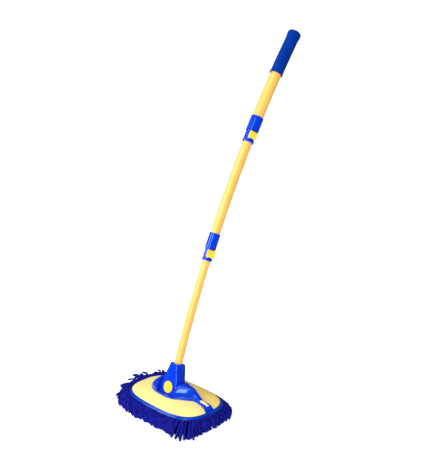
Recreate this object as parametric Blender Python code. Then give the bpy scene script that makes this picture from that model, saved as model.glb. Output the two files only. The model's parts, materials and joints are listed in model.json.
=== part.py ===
"""Flat mop: fringed pad, framed head with a tilting socket, bent telescopic handle in three tubes.

Frame: +X along the head, -Y the head's front, +Z up. The floor is z = 0, under the middle of the head.
The handle is bent to one radius, so each telescoping tube turns about the bend's centre as it slides.
Stations S_... are lengths along the handle's centreline from the hinge axis."""

from math import cos, pi, radians, sin

import bmesh
import bpy
from mathutils import Vector

MM = 0.001
GAP = 0.3 * MM
CUT_REACH = 25 * MM
CUT_HEIGHT = 100 * MM

# Roundness of the meshes
TUBE_SIDES = 28
SMALL_SIDES = 16
PIN_SIDES = 12
ROUND_END_STEPS = 8
TUBE_STEP = 42 * MM
OUTLINE_POINTS = 64

# Handle bend and hinge
HINGE_Y = -4 * MM
HINGE_Z = 60 * MM
HINGE_LEAN = radians(18.93)
BEND_RADIUS = 2858.7 * MM
BEND_CENTRE_Y = HINGE_Y + BEND_RADIUS * cos(HINGE_LEAN)
BEND_CENTRE_Z = HINGE_Z - BEND_RADIUS * sin(HINGE_LEAN)

# Mop pad and backing board
PAD_HALF = (146 * MM, 98 * MM)
PAD_TOP_HALF = (126 * MM, 81 * MM)
PAD_TOP = 14.5 * MM
PAD_ROUNDING = 2 * MM
BACKING_HALF = (116 * MM, 72 * MM)
BACKING_BOTTOM = PAD_TOP + GAP
BACKING_TOP = 17.5 * MM

# Frame and cover plate
OUTLINE_POWER = 3.0
OUTLINE_EGG = 0.03
RIM_HALF = (121.2 * MM, 77 * MM)
RIM_SHOULDER = 2 * MM
RIM_LIP_BOTTOM = 22 * MM
RIM_FOOT_INSET = 4 * MM
RIM_OUTER_TOP = 24.6 * MM
RIM_INNER_TOP = 29.6 * MM
DECK_BOTTOM = BACKING_TOP + GAP
DECK_TOP = 21.5 * MM
COVER_HALF = (114.6 * MM, 69.9 * MM)
COVER_EDGE = 30 * MM
COVER_CROWN = 10 * MM
COVER_CROWN_POWER = 3
COVER_WALL = 2.5 * MM
COVER_RINGS = (0.97, 0.88, 0.74, 0.58, 0.4, 0.2)

# Hinge base: x, centreline y, half width and top height along its length
BASE_STATIONS = (
    (-70 * MM, -4 * MM, 2 * MM, 39 * MM),
    (-66 * MM, -4 * MM, 10.5 * MM, 44 * MM),
    (-57 * MM, -4 * MM, 18 * MM, 54 * MM),
    (-46 * MM, -4 * MM, 24 * MM, 63.5 * MM),
    (-34 * MM, -4 * MM, 28 * MM, 70 * MM),
    (-18 * MM, -4 * MM, 30 * MM, 73 * MM),
    (0 * MM, -4 * MM, 30.5 * MM, 74 * MM),
    (15 * MM, -4 * MM, 29.5 * MM, 72 * MM),
    (30 * MM, -3.3 * MM, 25.5 * MM, 69.5 * MM),
    (43 * MM, -1.5 * MM, 18.5 * MM, 68 * MM),
    (54 * MM, 1 * MM, 14.5 * MM, 66 * MM),
    (64 * MM, 3.5 * MM, 9 * MM, 61 * MM),
    (72 * MM, 4.8 * MM, 7.4 * MM, 53 * MM),
    (80 * MM, 4.8 * MM, 7.4 * MM, 45.5 * MM),
    (88 * MM, 4.6 * MM, 7.6 * MM, 42 * MM),
    (100 * MM, 3.4 * MM, 9 * MM, 40.4 * MM),
    (107 * MM, 2.4 * MM, 10.5 * MM, 37.5 * MM),
    (113.7 * MM, 1.5 * MM, 13 * MM, 30.4 * MM),
)
BASE_BOTTOM = DECK_TOP + GAP
BASE_SHOULDER = 38 * MM
BASE_STEPS_BETWEEN = 2
BASE_ARCH_POINTS = 13
BASE_ARCH_POWER = 0.72
POCKET_HALF_X = 28 * MM
POCKET_FLOOR = 29.5 * MM
POCKET_WALL_TOP = 43 * MM
POCKET_FRONT = -28 * MM
POCKET_BACK = 20.8 * MM
POCKET_EASE = 0.2 * MM
POCKET_CORNER_X = 6 * MM
POCKET_CORNER_Y = 2.8 * MM

# Hinge pin, its plug, and the screws that hold the base
PIN_RADIUS = 3 * MM
PIN_HALF = 40 * MM
PIN_PLUG_LENGTH = 3 * MM
SCREW_PLACES = ((-44 * MM, -14 * MM), (-44 * MM, 7 * MM), (42 * MM, -12 * MM), (42 * MM, 8 * MM))
SCREW_RADIUS = 1.5 * MM
SCREW_HEAD_RADIUS = 3.5 * MM
SCREW_HEAD = 2 * MM
SCREW_TOP = 36 * MM

# Release tab in the tail
TAB_X = (83.5 * MM, 106.5 * MM)
TAB_Y = 4 * MM
TAB_HALF_Y = 4.2 * MM
TAB_BOTTOM = 33 * MM
TAB_FLOOR = 28 * MM
TAB_PROUD = 0.8 * MM
TAB_FOOT = 1.2 * MM

# Handle socket
S_SOCKET_TOP = 48.7 * MM
SOCKET_FRONT = 15.6 * MM
SOCKET_BACK = 15.8 * MM
SOCKET_HALF_TOP = 12.2 * MM
SOCKET_HALF_BOTTOM = 27.4 * MM
S_SOCKET_FLARE_END = -2.5 * MM
S_SOCKET_FACE_END = -23.5 * MM
S_SOCKET_HEEL = -25.6 * MM
S_SOCKET_FOOT = -27 * MM
SOCKET_SWING = 28.2 * MM
SOCKET_CORNER = 6 * MM
S_TUBE_FOOT = 10 * MM

# Tilt button, pressed along the socket's front normal
S_BUTTON = -7.8 * MM
BUTTON_RADIUS = 13.9 * MM
BUTTON_FACE = 18.2 * MM
BUTTON_RIM = 16.2 * MM
BUTTON_EDGE = 0.8 * MM
BUTTON_BACK = 10.5 * MM
BUTTON_POCKET = 7 * MM
BUTTON_STEM_RADIUS = 2.4 * MM
BUTTON_STEM_END = 1 * MM
BUTTON_STEM_POCKET = -3.5 * MM
BUTTON_SPRING_POCKET = 4.5 * MM
BUTTON_SPRING_ROOM = 5.5 * MM

# Springs
SPRING_WIRE = 0.4 * MM
SPRING_TURNS = 4
SPRING_STEPS = 12
SPRING_SIDES = 5

# Tubes, from the lowest up: foot station, head station, outer radius
TUBE_WALL = 0.6 * MM
GUIDE_WALL = 2.5 * MM
S_LOWER_TUBE_HEAD = 424.7 * MM
LOWER_RADIUS = 9.5 * MM
S_MIDDLE_TUBE_FOOT = 332 * MM
S_MIDDLE_TUBE_HEAD = 688 * MM
MIDDLE_RADIUS = 11.5 * MM
S_UPPER_TUBE_FOOT = 631.5 * MM
S_UPPER_TUBE_HEAD = 901.5 * MM
UPPER_RADIUS = 13.5 * MM
GUIDE_INSERT = 20 * MM
GUIDE_FLANGE = 10 * MM
END_PLUG_INSERT = 20 * MM

# Clamp collars: foot, step and head stations, radii at foot and head; the tube stands on a ledge in the step
LOWER_COLLAR = (299 * MM, 327.5 * MM, 366 * MM, 11.4 * MM, 13.2 * MM)
UPPER_COLLAR = (598.5 * MM, 627 * MM, 666 * MM, 13.4 * MM, 15.3 * MM)
COLLAR_LEDGE = 4 * MM
COLLAR_BEVEL = 1 * MM
COLLAR_LIP = 4.5 * MM
COLLAR_LIP_PROUD = 0.8 * MM

# Cam levers
LEVER_AROUND = radians(28)
LEVER_LENGTH = 19 * MM
LEVER_HALF_WIDTH = 9.6 * MM
LEVER_HALF_THICKNESS = 3.1 * MM
LEVER_CORNER = 3 * MM
LEVER_EDGE = 0.8 * MM
LEVER_FOOT = 10.2 * MM
LUG_HALF_WIDTH = 4.2 * MM
LUG_RADIUS = 1.8 * MM
NOTCH_LENGTH = 3.4 * MM
NOTCH_DEPTH = 2.4 * MM
LEVER_PIN_RADIUS = 0.9 * MM
LEVER_PIN_HALF = 8.6 * MM

# Rivets and the tube screw, all radial
RIVET_RADIUS = 1.6 * MM
RIVET_HEAD_RADIUS = 2.6 * MM
RIVET_HEAD = 1 * MM
RIVET_DEPTH = 3.2 * MM
TUBE_SCREW_DEPTH = 5 * MM
S_LOWER_RIVET = 347 * MM
S_UPPER_RIVET = 647 * MM
S_TUBE_SCREW = 30 * MM

# Grip; GRIP_END lists distances back from the end and how far the surface is inside the widest radius
S_GRIP_FOOT = 784.5 * MM
S_GRIP_HEAD = 906 * MM
GRIP_LIP_RADIUS = 16.8 * MM
GRIP_LIP = 3.5 * MM
GRIP_BODY_RADIUS = 15.8 * MM
GRIP_END_RADIUS = 17.2 * MM
GRIP_EDGE = 0.8 * MM
GRIP_END = (
    (22 * MM, 1.1 * MM),
    (12 * MM, 0.2 * MM),
    (7 * MM, 0),
    (3 * MM, 1.4 * MM),
    (0.8 * MM, 5 * MM),
)

ABOUT_X = Vector((1, 0, 0))


def clear_scene():
    for item in list(bpy.data.objects):
        bpy.data.objects.remove(item)


def principled(name, colour, roughness, metallic=0.0):
    material = bpy.data.materials.new(name)
    material.use_nodes = True
    shader = material.node_tree.nodes["Principled BSDF"]
    shader.inputs["Base Color"].default_value = (*colour, 1)
    shader.inputs["Roughness"].default_value = roughness
    shader.inputs["Metallic"].default_value = metallic
    return material


def add_object(name, mesh, material, origin=(0, 0, 0), smooth_angle=35):
    """The mesh's points are world coordinates; origin is where the object's own axes are put."""
    mesh.normal_update()
    bmesh.ops.recalc_face_normals(mesh, faces=mesh.faces)
    bmesh.ops.translate(mesh, verts=mesh.verts, vec=-Vector(origin))
    data = bpy.data.meshes.new(name)
    mesh.to_mesh(data)
    mesh.free()
    if material is not None:
        data.materials.append(material)
    item = bpy.data.objects.new(name, data)
    item.location = origin
    bpy.context.scene.collection.objects.link(item)
    data.shade_smooth()
    data.set_sharp_from_angle(angle=radians(smooth_angle))
    return item


def combine(item, tool, operation="DIFFERENCE"):
    tool.hide_render = True
    tool.display_type = "WIRE"
    step = item.modifiers.new(tool.name, "BOOLEAN")
    step.solver = "EXACT"
    step.operation = operation
    step.object = tool


def skin(rings, closed_path=False):
    """A closed mesh through rings of points. A ring of one point is a tip; flat ends are capped."""
    mesh = bmesh.new()
    made = [[mesh.verts.new(point) for point in ring] for ring in rings]
    pairs = list(zip(made, made[1:]))
    if closed_path:
        pairs.append((made[-1], made[0]))
    for near, far in pairs:
        count = max(len(near), len(far))
        for index in range(count):
            after = (index + 1) % count
            corners = [near[index % len(near)], near[after % len(near)]]
            corners += [far[after % len(far)], far[index % len(far)]]
            mesh.faces.new(list(dict.fromkeys(corners)))
    if not closed_path:
        for end in (made[0], made[-1]):
            if len(end) > 1:
                mesh.faces.new(end)
    return mesh


def box_mesh(low, high):
    corners = [
        [(x, y, z) for x, y in ((low[0], low[1]), (high[0], low[1]), (high[0], high[1]), (low[0], high[1]))]
        for z in (low[2], high[2])
    ]
    return skin(corners)


def cylinder_mesh(start, end, radius, sides=SMALL_SIDES):
    start = Vector(start)
    end = Vector(end)
    turn = (end - start).to_track_quat("Z", "Y")
    rings = []
    for place in (start, end):
        ring = []
        for index in range(sides):
            angle = 2 * pi * index / sides
            ring.append(place + turn @ Vector((radius * cos(angle), radius * sin(angle), 0)))
        rings.append(ring)
    return skin(rings)


def stepped_mesh(start, end, steps, sides=SMALL_SIDES):
    """A turned solid from start to end; steps lists fractions of the length and the radii there."""
    start = Vector(start)
    end = Vector(end)
    turn = (end - start).to_track_quat("Z", "Y")
    length = (end - start).length
    rings = []
    for along, radius in steps:
        ring = []
        for index in range(sides):
            angle = 2 * pi * index / sides
            offset = Vector((radius * cos(angle), radius * sin(angle), along * length))
            ring.append(start + turn @ offset)
        rings.append(ring)
    return skin(rings)


def helix_mesh(start, end, radius, turns=SPRING_TURNS):
    """A coil spring of round wire whose wire centre runs from start to end."""
    start = Vector(start)
    end = Vector(end)
    turn = (end - start).to_track_quat("Z", "Y")
    length = (end - start).length
    rings = []
    count = turns * SPRING_STEPS
    for step in range(count + 1):
        angle = 2 * pi * step / SPRING_STEPS
        outward = Vector((cos(angle), sin(angle), 0))
        centre = outward * radius + Vector((0, 0, length * step / count))
        ring = []
        for side in range(SPRING_SIDES):
            around = 2 * pi * side / SPRING_SIDES
            wire = outward * cos(around) + Vector((0, 0, 1)) * sin(around)
            ring.append(start + turn @ (centre + wire * SPRING_WIRE))
        rings.append(ring)
    return skin(rings)


# Handle geometry: u is along world X, v ahead of the handle's axis


def lean_at(station):
    return HINGE_LEAN + station / BEND_RADIUS


def ahead_at(station):
    return Vector((0, -cos(lean_at(station)), sin(lean_at(station))))


def along_at(station):
    return Vector((0, sin(lean_at(station)), cos(lean_at(station))))


def handle_point(station, u=0.0, v=0.0):
    lean = lean_at(station)
    y = BEND_CENTRE_Y - BEND_RADIUS * cos(lean)
    z = BEND_CENTRE_Z + BEND_RADIUS * sin(lean)
    return Vector((u, y, z)) + v * ahead_at(station)


def radial_point(station, around, distance):
    return handle_point(station, distance * cos(around), distance * sin(around))


def turned_along_handle(profile, closed_path=False, sides=TUBE_SIDES):
    """A round solid along the bent handle; profile lists stations and radii, a radius of 0 being a tip."""
    rings = []
    for station, radius in profile:
        if radius == 0:
            rings.append([handle_point(station)])
            continue
        rings.append([radial_point(station, 2 * pi * k / sides, radius) for k in range(sides)])
    return skin(rings, closed_path)


def stations_between(foot, head):
    count = max(1, round((head - foot) / TUBE_STEP))
    return [foot + (head - foot) * k / count for k in range(count + 1)]


def tube_mesh(foot, head, outer, inner):
    stations = stations_between(foot, head)
    profile = [(s, outer) for s in stations] + [(s, inner) for s in reversed(stations)]
    return turned_along_handle(profile, closed_path=True)


# Outlines of the head


def outline(half, height, margin=0.0, scale=1.0):
    """The head's rounded outline, a little wider towards +X, as one ring at a height."""
    half_length = (half[0] + margin) * scale
    half_width = (half[1] + margin) * scale
    ring = []
    for index in range(OUTLINE_POINTS):
        angle = 2 * pi * index / OUTLINE_POINTS
        along = abs(cos(angle) / half_length) ** OUTLINE_POWER
        across = abs(sin(angle) / half_width) ** OUTLINE_POWER
        reach = (along + across) ** (-1 / OUTLINE_POWER)
        x = reach * cos(angle)
        y = reach * sin(angle) * (1 + OUTLINE_EGG * x / half_length)
        ring.append((x, y, height))
    return ring


def cover_height(scale):
    return COVER_EDGE + COVER_CROWN * (1 - scale ** COVER_CROWN_POWER)


def smooth_between(values, places, place):
    """Catmull-Rom value at a place along uneven stations."""
    last = len(places) - 2
    index = max(k for k in range(last + 1) if k == 0 or places[k] <= place)
    span = places[index + 1] - places[index]
    part = (place - places[index]) / span

    def slope(k):
        low = max(k - 1, 0)
        high = min(k + 1, len(places) - 1)
        return (values[high] - values[low]) / (places[high] - places[low]) * span

    start, end = values[index], values[index + 1]
    cubic = (2 * part ** 3 - 3 * part ** 2 + 1) * start + (3 * part ** 2 - 2 * part ** 3) * end
    bend = (part ** 3 - 2 * part ** 2 + part) * slope(index) + (part ** 3 - part ** 2) * slope(index + 1)
    return cubic + bend


def base_places():
    xs = [station[0] for station in BASE_STATIONS]
    places = []
    for near, far in zip(xs, xs[1:]):
        places += [near + (far - near) * k / BASE_STEPS_BETWEEN for k in range(BASE_STEPS_BETWEEN)]
    return places + [xs[-1]]


def base_shape(x):
    """The hinge base's centreline y, half width and top height at x."""
    places = [station[0] for station in BASE_STATIONS]
    return [smooth_between([station[k] for station in BASE_STATIONS], places, x) for k in (1, 2, 3)]


# Pieces of the head


def build_pad(material):
    rings = [[(0, 0, 0)], outline(PAD_HALF, 0, -PAD_ROUNDING), outline(PAD_HALF, PAD_ROUNDING)]
    rings += [outline(PAD_TOP_HALF, PAD_TOP), [(0, 0, PAD_TOP)]]
    return add_object("mop_pad", skin(rings), material)


def build_backing(material):
    rings = [outline(BACKING_HALF, BACKING_BOTTOM), outline(BACKING_HALF, BACKING_TOP)]
    return add_object("pad_backing", skin(rings), material)


def build_frame(material):
    inner = (COVER_HALF[0] + GAP, COVER_HALF[1] + GAP)
    rings = [
        [(0, 0, DECK_BOTTOM)],
        outline(RIM_HALF, DECK_BOTTOM, -RIM_FOOT_INSET),
        outline(RIM_HALF, RIM_LIP_BOTTOM, -RIM_SHOULDER / 2),
        outline(RIM_HALF, RIM_OUTER_TOP - RIM_SHOULDER / 3),
        outline(RIM_HALF, RIM_OUTER_TOP + RIM_SHOULDER / 3, -RIM_SHOULDER / 2),
        outline(inner, RIM_INNER_TOP, RIM_SHOULDER / 2),
        outline(inner, RIM_INNER_TOP),
        outline(inner, DECK_TOP),
        [(0, 0, DECK_TOP)],
    ]
    frame = add_object("rim_frame", skin(rings), material)
    for index, (x, y) in enumerate(SCREW_PLACES):
        low = DECK_BOTTOM - MM
        head_top = DECK_BOTTOM + SCREW_HEAD + 2 * GAP
        shank = cylinder_mesh((x, y, low), (x, y, DECK_TOP + MM), SCREW_RADIUS + GAP)
        head = cylinder_mesh((x, y, low), (x, y, head_top), SCREW_HEAD_RADIUS + GAP)
        combine(frame, add_object(f"cut_deck_shank_{index}", shank, None))
        combine(frame, add_object(f"cut_deck_head_{index}", head, None))
    return frame


def base_plan(margin, low, high):
    """A prism on the hinge base's outline, as a cutter."""
    places = base_places()
    shapes = [(x, *base_shape(x)) for x in places]
    front = [(x, centre - half - margin) for x, centre, half, _ in shapes]
    back = [(x, centre + half + margin) for x, centre, half, _ in reversed(shapes)]
    end = places[-1] + 2 * MM
    plan = front + [(end, front[-1][1]), (end, back[0][1])] + back + [(places[0] - margin, shapes[0][1])]
    return skin([[(x, y, z) for x, y in plan] for z in (low, high)])


def build_cover(material):
    bottom = DECK_TOP + GAP
    inner = (COVER_HALF[0] - COVER_WALL, COVER_HALF[1] - COVER_WALL)
    rings = [[(0, 0, cover_height(0))]]
    rings += [outline(COVER_HALF, cover_height(k), scale=k) for k in reversed(COVER_RINGS)]
    rings += [outline(COVER_HALF, COVER_EDGE - MM / 2), outline(COVER_HALF, bottom)]
    rings += [outline(inner, bottom), outline(inner, COVER_EDGE - COVER_WALL)]
    rings += [outline(inner, cover_height(k) - COVER_WALL, scale=k) for k in COVER_RINGS[1:]]
    rings += [[(0, 0, cover_height(0) - COVER_WALL)]]
    cover = add_object("top_cover", skin(rings), material)
    combine(cover, add_object("cut_cover_opening", base_plan(GAP, DECK_TOP - MM, CUT_HEIGHT), None))
    return cover


def base_section(x):
    centre, half, top = base_shape(x)
    shoulder = min(BASE_SHOULDER, top - MM)
    ring = [(x, centre - half, BASE_BOTTOM)]
    for index in range(BASE_ARCH_POINTS):
        angle = pi * index / (BASE_ARCH_POINTS - 1)
        side = -cos(angle)
        y = half * abs(side) ** BASE_ARCH_POWER * (1 if side > 0 else -1)
        z = shoulder + (top - shoulder) * abs(sin(angle)) ** BASE_ARCH_POWER
        ring.append((x, centre + y, z))
    ring.append((x, centre + half, BASE_BOTTOM))
    return ring


def pocket_mesh(top):
    """The well that the socket swings in, with its corners cut off."""
    half = POCKET_HALF_X
    near = half - POCKET_CORNER_X
    front = POCKET_FRONT + POCKET_CORNER_Y
    back = POCKET_BACK - POCKET_CORNER_Y
    plan = [(-near, POCKET_FRONT), (near, POCKET_FRONT), (half, front), (half, back)]
    plan += [(near, POCKET_BACK), (-near, POCKET_BACK), (-half, back), (-half, front)]
    return skin([[(x, y, z) for x, y in plan] for z in (POCKET_FLOOR, top)])


def build_base(material):
    base = add_object("hinge_base", skin([base_section(x) for x in base_places()]), material)
    over = CUT_HEIGHT
    half = POCKET_HALF_X + POCKET_EASE
    above = box_mesh((-half, -over, POCKET_WALL_TOP), (half, over, over + MM))
    combine(base, add_object("cut_pocket", pocket_mesh(over), None))
    combine(base, add_object("cut_above_wall", above, None))
    start = (-over, HINGE_Y, HINGE_Z)
    pin = cylinder_mesh(start, (PIN_HALF + GAP, HINGE_Y, HINGE_Z), PIN_RADIUS + GAP)
    combine(base, add_object("cut_pin_bore", pin, None))
    for index, (x, y) in enumerate(SCREW_PLACES):
        hole = cylinder_mesh((x, y, 0), (x, y, SCREW_TOP + GAP), SCREW_RADIUS + GAP)
        combine(base, add_object(f"cut_base_screw_{index}", hole, None))
    low = (TAB_X[0] - GAP, TAB_Y - TAB_HALF_Y - GAP, TAB_FLOOR)
    high = (TAB_X[1] + GAP, TAB_Y + TAB_HALF_Y + GAP, over)
    combine(base, add_object("cut_tab_window", box_mesh(low, high), None))
    return base


def build_pin(material):
    start = (-PIN_HALF, HINGE_Y, HINGE_Z)
    end = (PIN_HALF, HINGE_Y, HINGE_Z)
    return add_object("pivot_pin", cylinder_mesh(start, end, PIN_RADIUS), material)


def build_pin_plug(material):
    near = -PIN_HALF - GAP
    start = (near - PIN_PLUG_LENGTH, HINGE_Y, HINGE_Z)
    plug = cylinder_mesh(start, (near, HINGE_Y, HINGE_Z), PIN_RADIUS)
    return add_object("pivot_pin_plug", plug, material)


def build_base_screws(material):
    length = SCREW_TOP - DECK_BOTTOM - GAP
    neck = SCREW_HEAD / length
    steps = ((0, SCREW_HEAD_RADIUS), (neck, SCREW_HEAD_RADIUS), (neck, SCREW_RADIUS), (1, SCREW_RADIUS))
    for index, (x, y) in enumerate(SCREW_PLACES):
        screw = stepped_mesh((x, y, DECK_BOTTOM + GAP), (x, y, SCREW_TOP), steps)
        add_object(f"base_screw_{index + 1}", screw, material)


def build_tab(material):
    """A rounded tab that follows the tail's slope, on a stem that its spring lifts."""
    front = TAB_Y - TAB_HALF_Y
    back = TAB_Y + TAB_HALF_Y
    edge = TAB_FOOT
    places = (TAB_X[0], TAB_X[0] + edge, (TAB_X[0] + TAB_X[1]) / 2, TAB_X[1] - edge, TAB_X[1])
    rings = []
    for x in places:
        top = base_shape(x)[2] + TAB_PROUD
        if x in (TAB_X[0], TAB_X[1]):
            top -= TAB_PROUD
        ring = [(x, front, TAB_BOTTOM), (x, front, top - edge), (x, front + edge, top)]
        ring += [(x, back - edge, top), (x, back, top - edge), (x, back, TAB_BOTTOM)]
        rings.append(ring)
    middle = (places[2], TAB_Y, TAB_BOTTOM)
    return add_object("release_tab", skin(rings), material, origin=middle)


def build_tab_spring(material):
    x = (TAB_X[0] + TAB_X[1]) / 2
    clear = SPRING_WIRE + GAP
    low = (x, TAB_Y, TAB_FLOOR + clear)
    high = (x, TAB_Y, TAB_BOTTOM - clear)
    spring = helix_mesh(low, high, TAB_HALF_Y - 3 * clear / 2, turns=3)
    return add_object("tab_spring", spring, material, origin=(x, TAB_Y, TAB_FLOOR))


# Socket and button


def socket_section(station):
    """A rounded rectangle round the handle's axis, flared downward and rounded where it swings."""
    part = (S_SOCKET_TOP - station) / (S_SOCKET_TOP - S_SOCKET_FLARE_END)
    part = min(part, 1)
    half = SOCKET_HALF_TOP + (SOCKET_HALF_BOTTOM - SOCKET_HALF_TOP) * part
    front, back = SOCKET_FRONT, -SOCKET_BACK
    if station < 0:
        reach = (SOCKET_SWING ** 2 - station ** 2) ** 0.5
        front = min(front, reach)
        back = max(back, -reach)
    corner = min(SOCKET_CORNER, (front - back) / 2.2)
    centres = ((half, front), (-half, front), (-half, back), (half, back))
    ring = []
    for quarter, (u, v) in enumerate(centres):
        inward_u = u - corner if u > 0 else u + corner
        inward_v = v - corner if v == front else v + corner
        for step in range(5):
            angle = pi / 2 * (quarter + step / 4)
            ring.append(handle_point(station, inward_u + corner * cos(angle), inward_v + corner * sin(angle)))
    return ring


def button_point(v, station=S_BUTTON):
    return handle_point(station) + v * ahead_at(0)


def build_socket(material):
    stations = [S_SOCKET_FOOT, S_SOCKET_HEEL, S_SOCKET_FACE_END, S_SOCKET_FLARE_END]
    stations += [S_SOCKET_TOP / 2, S_SOCKET_TOP - MM, S_SOCKET_TOP]
    socket = add_object("socket_body", skin([socket_section(s) for s in stations]), material, pivot_origin())
    bore = [(S_TUBE_FOOT - GAP, LOWER_RADIUS + GAP), (S_SOCKET_TOP + 2 * MM, LOWER_RADIUS + GAP)]
    combine(socket, add_object("cut_tube_bore", turned_along_handle(bore), None))
    reach = PIN_HALF
    pin = cylinder_mesh((-reach, HINGE_Y, HINGE_Z), (reach, HINGE_Y, HINGE_Z), PIN_RADIUS + GAP)
    combine(socket, add_object("cut_socket_pin", pin, None))
    room = CUT_REACH
    cuts = (
        ("button", BUTTON_POCKET, BUTTON_RADIUS + GAP, TUBE_SIDES),
        ("spring", BUTTON_SPRING_POCKET, BUTTON_SPRING_ROOM, SMALL_SIDES),
        ("stem", BUTTON_STEM_POCKET, BUTTON_STEM_RADIUS + GAP, SMALL_SIDES),
    )
    for name, floor, radius, sides in cuts:
        hole = cylinder_mesh(button_point(floor), button_point(room), radius, sides)
        combine(socket, add_object(f"cut_{name}_pocket", hole, None))
    screw = radial_cylinder(S_TUBE_SCREW, -pi / 2, 0, CUT_REACH, RIVET_RADIUS + GAP)
    seat = SOCKET_BACK - RIVET_HEAD - GAP
    head = radial_cylinder(S_TUBE_SCREW, -pi / 2, seat, CUT_REACH, RIVET_HEAD_RADIUS + GAP)
    combine(socket, add_object("cut_socket_screw", screw, None))
    combine(socket, add_object("cut_socket_screw_head", head, None))
    return socket


def pivot_origin():
    return (0, HINGE_Y, HINGE_Z)


def build_button(material):
    depth = BUTTON_FACE - BUTTON_STEM_END
    marks = (
        (BUTTON_STEM_END, BUTTON_STEM_RADIUS),
        (BUTTON_BACK, BUTTON_STEM_RADIUS),
        (BUTTON_BACK, BUTTON_RADIUS),
        (BUTTON_RIM, BUTTON_RADIUS),
        (BUTTON_RIM + BUTTON_EDGE, BUTTON_RADIUS - BUTTON_EDGE),
        (BUTTON_FACE - BUTTON_EDGE / 2, BUTTON_RADIUS * 0.72),
        (BUTTON_FACE, BUTTON_RADIUS * 0.3),
    )
    steps = [((v - BUTTON_STEM_END) / depth, radius) for v, radius in marks]
    button = stepped_mesh(button_point(BUTTON_STEM_END), button_point(BUTTON_FACE), steps, TUBE_SIDES)
    return add_object("tilt_button", button, material, button_point(BUTTON_BACK))


def build_button_spring(material):
    clear = SPRING_WIRE + GAP
    low = button_point(BUTTON_SPRING_POCKET + clear)
    high = button_point(BUTTON_BACK - clear)
    spring = helix_mesh(low, high, BUTTON_SPRING_ROOM - 2 * clear)
    return add_object("button_spring", spring, material, button_point(BUTTON_SPRING_POCKET))


# Tubes, guides and radial fixings


def radial_cylinder(station, around, near, far, radius, sides=SMALL_SIDES):
    start = radial_point(station, around, near)
    end = radial_point(station, around, far)
    return cylinder_mesh(start, end, radius, sides)


def bend_origin():
    return (0, BEND_CENTRE_Y, BEND_CENTRE_Z)


def build_tube(name, foot, head, radius, material, fixing=None, origin=(0, 0, 0)):
    tube = add_object(name, tube_mesh(foot, head, radius, radius - TUBE_WALL), material, origin)
    if fixing is not None:
        station, around = fixing
        hole = radial_cylinder(station, around, 0, radius + 3 * MM, RIVET_RADIUS + GAP)
        combine(tube, add_object(f"cut_{name}_hole", hole, None))
    return tube


def build_guide(name, tube_head, radius, outer_tube_radius, material, origin):
    insert = radius - TUBE_WALL - GAP
    flange = outer_tube_radius - TUBE_WALL - GAP
    bore = insert - GUIDE_WALL
    seat = tube_head + GAP
    profile = [
        (tube_head - GUIDE_INSERT, insert),
        (seat, insert),
        (seat, flange),
        (seat + GUIDE_FLANGE, flange),
        (seat + GUIDE_FLANGE, bore),
        (tube_head - GUIDE_INSERT, bore),
    ]
    return add_object(name, turned_along_handle(profile, closed_path=True), material, origin)


def build_rivet(name, station, around, surface, depth, material, origin):
    """A fixing whose head lies on the surface radius and whose shank reaches inward by depth."""
    length = depth + RIVET_HEAD
    neck = depth / length
    steps = ((0, RIVET_RADIUS), (neck, RIVET_RADIUS), (neck, RIVET_HEAD_RADIUS), (1, RIVET_HEAD_RADIUS))
    start = radial_point(station, around, surface - depth)
    end = radial_point(station, around, surface + RIVET_HEAD)
    return add_object(name, stepped_mesh(start, end, steps), material, origin)


# Clamp collars and cam levers


def lever_frame(collar):
    """The lever pin's centre, and the outward, sideways and upward directions there."""
    station = collar[0] + LEVER_FOOT
    outward = ABOUT_X * cos(LEVER_AROUND) + ahead_at(station) * sin(LEVER_AROUND)
    upward = along_at(station)
    sideways = outward.cross(upward)
    centre = handle_point(station) + outward * (collar[3] + 2 * GAP + LEVER_HALF_THICKNESS)
    return centre, outward, sideways, upward


def lever_pin_mesh(collar, half_length, radius):
    centre, _, sideways, _ = lever_frame(collar)
    reach = sideways * half_length
    return cylinder_mesh(centre - reach, centre + reach, radius, PIN_SIDES)


def block_mesh(frame, outs, sides, ups):
    centre, outward, sideways, upward = frame
    rings = []
    for up in ups:
        ring = []
        for out, side in ((outs[0], sides[0]), (outs[1], sides[0]), (outs[1], sides[1]), (outs[0], sides[1])):
            ring.append(centre + outward * out + sideways * side + upward * up)
        rings.append(ring)
    return skin(rings)


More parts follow.
